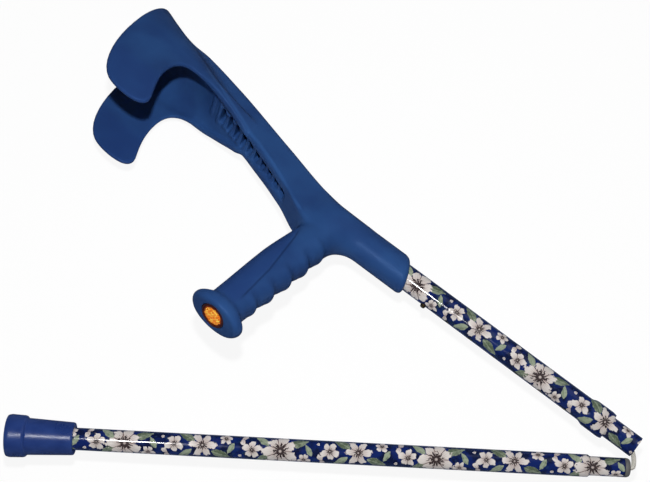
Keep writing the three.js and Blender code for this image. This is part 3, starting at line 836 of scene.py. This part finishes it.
def handle_distance(u, v, w):
    """Signed distance to the handle's surface in its own frame; w is the distance from the middle plane."""
    half = shell_half_width(u, v)
    union = blend(3, 13, ease(125, 185, u) * (1 - 0.6 * ease(190, 210, u)))
    body = smooth_min(stem_distance(u, v, w), cuff_distance(u, v, w, half), union)
    side_view = outline_distance(SIDE_OUTLINE, u[:, :, 0], v[:, :, 0] + 0 * u[:, :, 0])[:, :, None]
    body = smooth_max(body, side_view - 0.6, 3.2)
    body = smooth_max(body, -hollow_distance(u, v, w, half), 2.4)
    body = with_ribs(smooth_max(body, -slot_distance(u, v, w), 3.5), u, v, w)
    s, y = grip_place(u, v)
    root = smooth_min(neck_distance(u, v, w), grip_distance(s, y, w), 19)
    body = smooth_min(body, root, 6)
    recess = smooth_max(np.sqrt(y**2 + w**2) - 12.2, GRIP_END - 5.0 - s, 0.6)
    body = smooth_max(body, -recess, 0.9)
    bore = np.maximum(np.sqrt(v**2 + w**2) - (UPPER_R + 0.3), np.maximum(u - 6.3, -120 - u))
    return smooth_max(body, -bore, 0.8)


def interpolate(field, low, h, p):
    """Values of a grid at points, mixed from the eight nearest."""
    q = (p - low) / h
    i = np.clip(np.floor(q).astype(int), 0, np.array(field.shape) - 2)
    f = np.clip(q - i, 0, 1)
    total = np.zeros(len(p))
    for corner in itertools.product((0, 1), repeat=3):
        share = np.prod(np.where(corner, f, 1 - f), axis=1)
        total += share * field[tuple((i + corner).T)]
    return total


def handle_field():
    """The distance on a grid on both sides of the middle plane, with the grid's low corner."""
    u = np.arange(-100, 256, VOXEL)
    v = np.arange(-88, 168, VOXEL)
    w = np.arange(0, 49.5, VOXEL)
    field = np.empty((len(u), len(v), len(w)), np.float32)
    for start in range(0, len(u), 40):
        part = slice(start, start + 40)
        distance = handle_distance(u[part, None, None], v[None, :, None], w[None, None, :])
        field[part] = np.clip(distance, -4 * VOXEL, 4 * VOXEL)
    return np.concatenate([field[:, :, :0:-1], field], axis=2), np.array([u[0], v[0], -w[-1]])


def drawn_in(field, low, p):
    """Moves points onto the surface and gives their normals."""
    normals = np.empty_like(p)
    for _ in range(2):
        for axis in range(3):
            step = np.zeros(3)
            step[axis] = VOXEL
            ahead = interpolate(field, low, VOXEL, p + step)
            normals[:, axis] = ahead - interpolate(field, low, VOXEL, p - step)
        length = np.linalg.norm(normals, axis=1, keepdims=True)
        slope = np.maximum(length / (2 * VOXEL), 0.3)
        normals /= np.maximum(length, 1e-9)
        gap = interpolate(field, low, VOXEL, p)[:, None] / slope
        p = p - normals * np.clip(gap, -VOXEL / 2, VOXEL / 2)
    return p, normals


def handle_marks(p, normals):
    """Values at points for the paint: the crease with its painted shade, the grip's upper facet with its
    painted shade, and the distance from the lip line for its painted highlight.
    """
    away = np.abs(p[:, 2])
    s, y = grip_place(p[:, 0], p[:, 1])
    crease = y - crease_height(s)
    # mask for the lip's painted highlight: outer side faces between the neck and the cuff
    outer = ease(0.1, 0.5, normals[:, 2] * np.sign(p[:, 2])) * ease(10, 26, p[:, 0])
    outer *= 1 - ease(170, 205, p[:, 0])
    return {
        "crease": crease,
        "marked": crease_part(s, away),
        "grip": ease(30, 46, s) * (1 - ease(140, 150, s)) * ease(-1, 3, crease),
        "lip": np.abs(p[:, 1] - LIP_LINE(p[:, 0])) + 9 * (1 - outer * ease(9, 12, away)),
    }


def build_handle():
    field, low = handle_field()
    grid = openvdb.FloatGrid(background=float(4 * VOXEL))
    grid.copyFromArray(field)
    points, triangles, quads = grid.convertToPolygons(isovalue=0.0, adaptivity=0.0)
    p, normals = drawn_in(field, low, low + np.asarray(points, float) * VOXEL)
    faces = [tuple(map(int, f)) for f in (*triangles, *quads)]
    made = mesh_object("handle_moulding", p, faces, HANDLE, paint["handle"], smooth_angle=0)
    turn = np.array((HANDLE @ Matrix.Scale(1 / MM, 4)).to_3x3())
    facing_out(made)
    made.data.normals_split_custom_set_from_vertices((normals @ turn.T).tolist())
    for name, values in handle_marks(p, normals).items():
        mark = made.data.attributes.new(name, "FLOAT", "POINT")
        mark.data.foreach_set("value", values.astype(np.float32))
    return made


handle = build_handle()
settle(handle, "handle_assembly", "handle_plastic", "handle_body")

# ---------------------------------------------------------------- reflector
END = GRIP_END - 0.15
rim_outline = [
    (END - 4.5, 0, 0), (END - 4.5, 12.0, 0.3), (END - 0.2, 12.0, 0.7), (END - 0.2, 9.9, 0.3),
    (END - 2.6, 9.9, 0.1), (END - 2.6, 0, 0),
]
rim = turned("reflector_rim", rim_outline, GRIP, paint["cup"], closed=False)
settle(rim, "handle_assembly", "reflector_housing", "reflector_cup")
amber_outline = [
    (END - 2.4, 0, 0), (END - 2.4, 9.7, 0.1), (END - 0.7, 9.7, 0.6), (END - 0.1, 6.0, 4), (END, 0, 0),
]
amber = turned("reflector_amber", amber_outline, GRIP, paint["lens"], closed=False)
settle(amber, "handle_assembly", "reflector_lens", "reflector_lens")


# ---------------------------------------------------------------- tubes
def pin(x, radius, low, high):
    """A cutter along +y that drills a hole at x."""
    matrix = SHAFT @ Matrix.Translation((x, 0, 0)) @ Matrix.Rotation(math.pi / 2, 4, "Z")
    loop = [(low, 0, 0), (low, radius, 0), (high, radius, 0), (high, 0, 0)]
    made = turned("cutter", loop, matrix, paint["steel"], 32, closed=False)
    made.modifiers.clear()
    return made


def stations(start, end, r, spacing=6.0):
    """Rings between two ends of a straight stretch, which keep its faces short."""
    count = max(2, int(abs(end - start) / spacing))
    return [(start + (end - start) * k / count, r, 0) for k in range(1, count)]


upper_outline = [
    (6, UPPER_R, 0.3), *stations(6, -277.5, UPPER_R), (-277.8, UPPER_R, 1.2), (-281.8, 12.7, 1.6),
    *stations(-281.8, -299, 12.7, 5), (-299, 12.7, 2.6), (-302, 11.9, 0.3), (-302, 11.5, 0.2),
    (-282, 11.5, 1), (-279, 9.8, 1), *stations(-279, 6, 9.8), (6, 9.8, 0.2),
]
upper = turned("upper_tube_printed", upper_outline, SHAFT, paint["upper"])
facing_out(upper)
drilled(upper, [pin(BUTTON_AT - HOLE_PITCH * i, HOLE_R, 5, 16) for i in range(HOLES)])
settle(upper, "handle_assembly", "printed_tube", "upper_tube")

bush_outline = [
    (-282.8, 11.2, 0.3), (-301.7, 11.2, 0.4), (-301.7, 10.3, 0.3), (-300.4, 9.8, 0.4), (-282.8, 9.8, 0.3),
]
bush = turned("bush_ring", bush_outline, SHAFT, paint["dark"])
settle(bush, "handle_assembly", "bush_plastic", "anti_rattle_bush")

inner_outline = [
    (-98, INNER_R, 0.6), *stations(-98, -330.7, INNER_R), (-330.7, INNER_R, 0.5), (-330.7, 8.4, 0.4),
    *stations(-330.7, -98, 8.4), (-98, 8.4, 0.2),
]
inner = turned("inner_tube_printed", inner_outline, SHAFT, paint["inner"])
facing_out(inner)
drilled(inner, [pin(BUTTON_AT, HOLE_R, 5, 16)])
settle(inner, "height_tube", "printed_tube", "inner_tube")

leg_outline = [
    (5.2, 8.1, 0.4), *stations(5.2, 34.7, 8.1), (34.7, 8.1, 0.9), (36.2, INNER_R, 0.9),
    *stations(36.2, 520.7, INNER_R, 8), (520.7, INNER_R, 0.3), (520.7, 8.3, 0.2), (37.7, 8.3, 1),
    (35.7, 6.7, 1), (5.2, 6.7, 0.3),
]
settle(turned("leg_tube_printed", leg_outline, LEG, paint["leg"]), "leg", "printed_tube", "leg_tube")

nose_outline = [
    (0.3, 5.3, 0.6), (0.7, 6.7, 0.8), (1.9, 7.75, 0.9), (3.4, 8.15, 0.8), (4.95, 8.15, 0.25),
    (4.95, 6.4, 0.2), (22, 6.4, 0.5), (22, 2.8, 0.3), (1.3, 2.8, 0.8), (0.3, 3.6, 0.5),
]
settle(turned("nose_plug", nose_outline, LEG, paint["nose"]), "leg", "nose_plastic", "spigot_plug")

button_place = SHAFT @ Matrix.Translation((BUTTON_AT, 0, 0)) @ Matrix.Rotation(math.pi / 2, 4, "Z")
button_outline = [
    (5.3, 0, 0), (5.3, 3.6, 0.2), (6.4, 3.6, 0.3), (6.4, 2.5, 0.2), (12.0, 2.5, 1.0), (13.6, 1.9, 1.2),
    (13.6, 0, 0),
]
button = turned("button_pin", button_outline, button_place, paint["brass"], 48, closed=False)
settle(button, "button", "button_brass", "snap_button")


def build_spring():
    """U of flat steel strip in one fixed shape; on the real crutch its upper leg gives way under the button.
    """
    top, low, thick, bend, tip, half = 5.0, -6.6, 0.6, -134.5, -108.0, 4.0
    centre, reach = (top + low) / 2, (top - low) / 2 - thick / 2
    line = [(x, top - thick / 2) for x in np.linspace(tip, bend, 14)[:-1]]
    for a in np.linspace(0.5, 1.5, 17) * math.pi:
        line.append((bend + reach * math.cos(a), centre + reach * math.sin(a)))
    line += [(x, low + thick / 2) for x in np.linspace(bend, tip, 14)[1:]]
    path = np.array(line)
    tangent = np.gradient(path, axis=0)
    tangent /= np.linalg.norm(tangent, axis=1, keepdims=True)
    across = np.stack([-tangent[:, 1], tangent[:, 0]], axis=1) * thick / 2
    vertices, faces = [], []
    for i, (centre_point, out) in enumerate(zip(path, across)):
        width = half - (1.2 if i in (0, len(path) - 1) else 0)
        for side, z in ((out, -width), (-out, -width), (-out, width), (out, width)):
            vertices.append((*(centre_point + side), z))
    for i in range(len(path) - 1):
        for k in range(4):
            j = (k + 1) % 4
            faces.append((i * 4 + k, i * 4 + j, i * 4 + 4 + j, i * 4 + 4 + k))
    end = 4 * (len(path) - 1)
    faces += [(0, 1, 2, 3), (end + 3, end + 2, end + 1, end)]
    made = facing_out(mesh_object("spring_strip", vertices, faces, SHAFT, paint["steel"]))
    made.modifiers.clear()
    return made


spring = build_spring()
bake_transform(spring)
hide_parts("snap_spring")


# ---------------------------------------------------------------- ferrule
FOOT = 530.4  # along the leg
TREAD = 1.5  # depth of the grooves under the foot
ferrule_outline = [
    (522.9, 0, 0), (522.9, 9.8, 0.4), (473, 9.8, 0.5), (473, 13.6, 1.1), (474.5, 14.0, 0.6),
    (513.2, 15.75, 0.5), (514.0, 17.2, 0.9), (515.6, 17.85, 0.8), (527.5, 18.35, 1.0), (FOOT, 17.6, 1.2),
    (FOOT, 16.3, 0.4),
]
for ring in (14.6, 11.2, 7.8, 4.4):
    ferrule_outline += [(FOOT, ring + 1.1, 0.3), (FOOT - TREAD, ring + 0.9, 0.3)]
    ferrule_outline += [(FOOT - TREAD, ring - 0.9, 0.3), (FOOT, ring - 1.1, 0.3)]
ferrule_outline.append((FOOT, 0, 0))
foot = turned("ferrule_foot", ferrule_outline, LEG, paint["rubber"], closed=False)
settle(foot, "leg", "ferrule_rubber", "ferrule")

# ---------------------------------------------------------------- shock cord
CORD_R = 2.0
# out of the socket's mouth, round its rim and into the leg's nose
CORD_PATH = [
    (-146, 0), (-200, 0), (-260, 0), (-300, 0), (-314, 0.2), (-323, 1.5), (-329.2, 4.4), (-333.6, 8.2),
    (-336.6, 12.2), (-338.0, 15.9), (-335.9, 18.4),
]
along_leg = Vector((math.cos(FOLD), math.sin(FOLD)))
nose = Vector((PIVOT.x, PIVOT.y)) + LEG_OFFSET * Vector((-math.sin(FOLD), math.cos(FOLD)))
CORD_PATH += [tuple(nose + along_leg * reach) for reach in (7, 14, 24, 60, 100, 135)]


def cord_line():
    """Close points on a smooth curve through the cord's path."""
    p = np.array(CORD_PATH, float)
    dense = []
    for i in range(len(p) - 1):
        a, b, c, d = p[max(i - 1, 0)], p[i], p[i + 1], p[min(i + 2, len(p) - 1)]
        reach = np.linalg.norm(c - b)
        ma = (c - a) / (np.linalg.norm(c - a) + 1e-9) * reach
        mb = (d - b) / (np.linalg.norm(d - b) + 1e-9) * reach
        for t in np.arange(0, 1, min(0.5, 0.7 / reach)):
            start = (2 * t**3 - 3 * t**2 + 1) * b + (t**3 - 2 * t**2 + t) * ma
            dense.append(start + (3 * t**2 - 2 * t**3) * c + (t**3 - t**2) * mb)
    dense.append(p[-1])
    return np.array(dense)


def build_cord():
    path = cord_line()
    tangent = np.gradient(path, axis=0)
    tangent /= np.linalg.norm(tangent, axis=1, keepdims=True)
    side = np.stack([-tangent[:, 1], tangent[:, 0]], axis=1)
    length = np.concatenate([[0], np.cumsum(np.linalg.norm(np.diff(path, axis=0), axis=1))])
    count, vertices, faces, along, turn = 24, [], [], [], []
    for centre, out, l in zip(path, side, length):
        for k in range(count):
            a = 2 * math.pi * k / count
            vertices.append((*(centre + out * CORD_R * math.cos(a)), CORD_R * math.sin(a)))
            along.append(l)
            turn.append(a)
    for i in range(len(path) - 1):
        for k in range(count):
            j = (k + 1) % count
            faces.append((i * count + k, i * count + j, (i + 1) * count + j, (i + 1) * count + k))
    faces += [tuple(range(count)), tuple((len(path) - 1) * count + k for k in reversed(range(count)))]
    made = mesh_object("cord_braided", vertices, faces, SHAFT, paint["cord"])
    made.modifiers.clear()
    facing_out(made)
    for name, values in (("along", along), ("turn", turn)):
        mark = made.data.attributes.new(name, "FLOAT", "POINT")
        mark.data.foreach_set("value", np.array(values, np.float32))
    return made


cord = build_cord()
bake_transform(cord)
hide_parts("shock_cord_upper", "shock_cord_lower")

# ---------------------------------------------------------------- hidden hardware keeps its CAD shape
CAD_PAINT = {
    "upper_cord_plug": "dark",
    "upper_cord_crimp": "crimp",
    "lower_cord_plug": "dark",
    "lower_cord_crimp": "crimp",
    "ferrule_washer": "steel",
}
for node, kind in CAD_PAINT.items():
    piece = frame["nodes"][node]
    piece.data.materials.clear()
    piece.data.materials.append(paint[kind])


# ---------------------------------------------------------------- floor, light and camera
def floor_paint(g, surface):
    """White that fades into the background; it shows dark in the object's gloss, so that edges stay dark."""
    place = g.node("ShaderNodeTexCoord").outputs["Object"]
    white = g.mix(g.noise(place, 3.0, 4.0), (0.90, 0.90, 0.90), (0.94, 0.94, 0.94))
    ray = g.node("ShaderNodeLightPath")
    g.put(surface.inputs["Base Color"], g.mix(ray.outputs["Is Glossy Ray"], white, (0.07, 0.10, 0.18)))
    surface.inputs["Roughness"].default_value = 0.9
    surface.inputs["Specular IOR Level"].default_value = 0.1
    glow = g.node("ShaderNodeEmission")
    g.put(glow.inputs["Color"], (1.0, 1.0, 1.0))
    glow.inputs["Strength"].default_value = 1.02
    seen = g.math("MULTIPLY", ray.outputs["Is Camera Ray"], 0.90)
    both = g.node("ShaderNodeMixShader")
    g.put(both.inputs[0], seen)
    g.put(both.inputs[1], surface.outputs[0])
    g.put(both.inputs[2], glow.outputs[0])
    g.put(next(n for n in g.tree.nodes if n.type == "OUTPUT_MATERIAL").inputs["Surface"], both.outputs[0])


floor_mesh = bpy.data.meshes.new("floor")
floor_mesh.from_pydata([(-6, -6, 0), (6, -6, 0), (6, 6, 0), (-6, 6, 0)], [], [(0, 1, 2, 3)])
floor_mesh.materials.append(material("floor_white", floor_paint))
floor = bpy.data.objects.new("floor", floor_mesh)
floor.location.z = cad_low.z - 0.0005
scene.collection.objects.link(floor)

VIEW_RIGHT = Vector((-0.788, -0.616, 0.0)).normalized()
VIEW_FORWARD = Vector((0.1903, -0.2435, -0.9511))
VIEW_FORWARD = (VIEW_FORWARD - VIEW_RIGHT * VIEW_FORWARD.dot(VIEW_RIGHT)).normalized()
VIEW_DOWN = VIEW_FORWARD.cross(VIEW_RIGHT)
VIEW_DOWN = VIEW_DOWN if VIEW_DOWN.z < 0 else -VIEW_DOWN
SENSOR = 36
LENS_OVER_SENSOR = 30 / 13


def from_view(offset):
    """A step right, down and ahead of the camera."""
    return offset[0] * VIEW_RIGHT + offset[1] * VIEW_DOWN + offset[2] * VIEW_FORWARD


CAMERA_PLACE = ORIGIN - MM * from_view((4.5, -17.9, 1340.7))
camera_data = bpy.data.cameras.new("camera")
camera_data.sensor_width = SENSOR
camera_data.lens = SENSOR * LENS_OVER_SENSOR
camera_data.clip_start = 0.05
camera = bpy.data.objects.new("camera", camera_data)
axes = Matrix((VIEW_RIGHT, -VIEW_DOWN, -VIEW_FORWARD)).transposed()
camera.matrix_world = Matrix.Translation(CAMERA_PLACE) @ axes.to_4x4()
scene.collection.objects.link(camera)
scene.camera = camera


def area_light(name, offset, size, size_y, power, colour=(1, 1, 1)):
    """A soft box placed right, down and ahead of the camera's own position, facing the handle."""
    data = bpy.data.lights.new(name, "AREA")
    data.shape = "RECTANGLE"
    data.size, data.size_y = size, size_y
    data.energy = power
    data.color = colour
    made = bpy.data.objects.new(name, data)
    made.location = CAMERA_PLACE + from_view(offset)
    aim = ORIGIN - made.location
    made.rotation_mode = "QUATERNION"
    made.rotation_quaternion = aim.to_track_quat("-Z", "Y")
    scene.collection.objects.link(made)
    return made


# The key gives form and the crisp shadow inside the cuff, the glint only the thin line along the tubes.
key = area_light("key", (0.0, -0.22, 0.0), 0.05, 0.05, 14.9)
key.visible_glossy = False
glint = area_light("glint", (-0.345, -0.10, 0.0), 0.08, 0.10, 3)
glint.visible_diffuse = False
area_light("fill", (0.9, -0.9, 0.2), 1.4, 1.4, 1.5)
world = bpy.data.worlds.new("studio")
world.use_nodes = True
background = world.node_tree.nodes["Background"]
background.inputs["Color"].default_value = (0.95, 0.97, 1.0, 1.0)
backdrop = Graph(world.node_tree)
seen = backdrop.node("ShaderNodeLightPath").outputs["Is Camera Ray"]
backdrop.put(background.inputs["Strength"], backdrop.math("MULTIPLY_ADD", seen, 0.95, 0.04))
scene.world = world
scene.view_settings.view_transform = "Standard"
